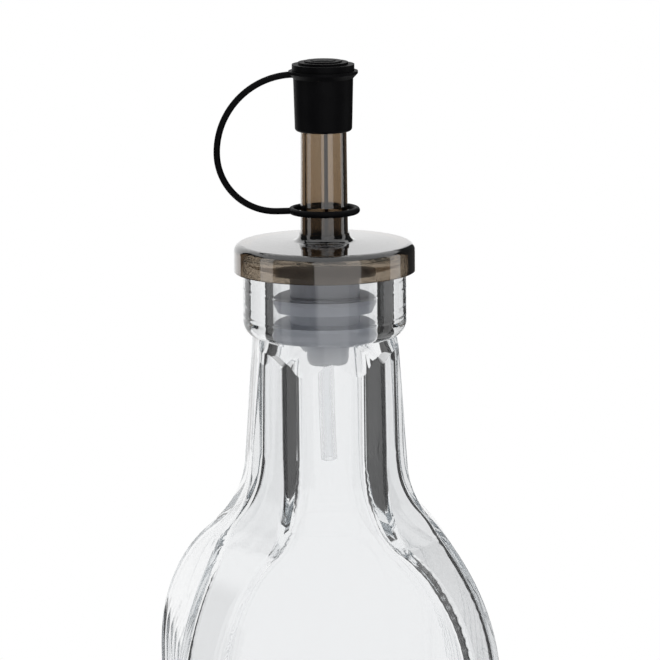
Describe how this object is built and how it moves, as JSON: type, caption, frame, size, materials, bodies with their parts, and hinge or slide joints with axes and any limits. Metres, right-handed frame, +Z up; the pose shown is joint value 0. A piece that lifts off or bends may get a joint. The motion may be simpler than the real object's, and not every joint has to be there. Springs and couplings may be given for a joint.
{
  "type": "oil cruet",
  "caption": "Square glass oil bottle with fluted sides, stopped by a pouring spout whose rubber cap hangs on a strap.",
  "frame": {"origin": "middle of the bottle's base, on the surface it stands on", "axes": "+Z up along the bottle's axis, the fluted panels face -X and +X, the cap's strap loops out towards -X"},
  "size_m": [0.0644, 0.0644, 0.2667],
  "materials": {
    "bottle_glass": "clear moulded glass, smooth",
    "smoke_plastic": "see-through smoke-brown plastic, glossy",
    "white_plastic": "milky white soft plastic",
    "clear_plastic": "frosted clear plastic",
    "black_rubber": "black moulded rubber, satin"
  },
  "bodies": {
    "root": {"bottle": "bottle_glass", "pourer_spout": "smoke_plastic", "stopper_plug": "white_plastic", "air_tube": "clear_plastic", "tethered_cap": "black_rubber"}
  },
  "joints": []
}
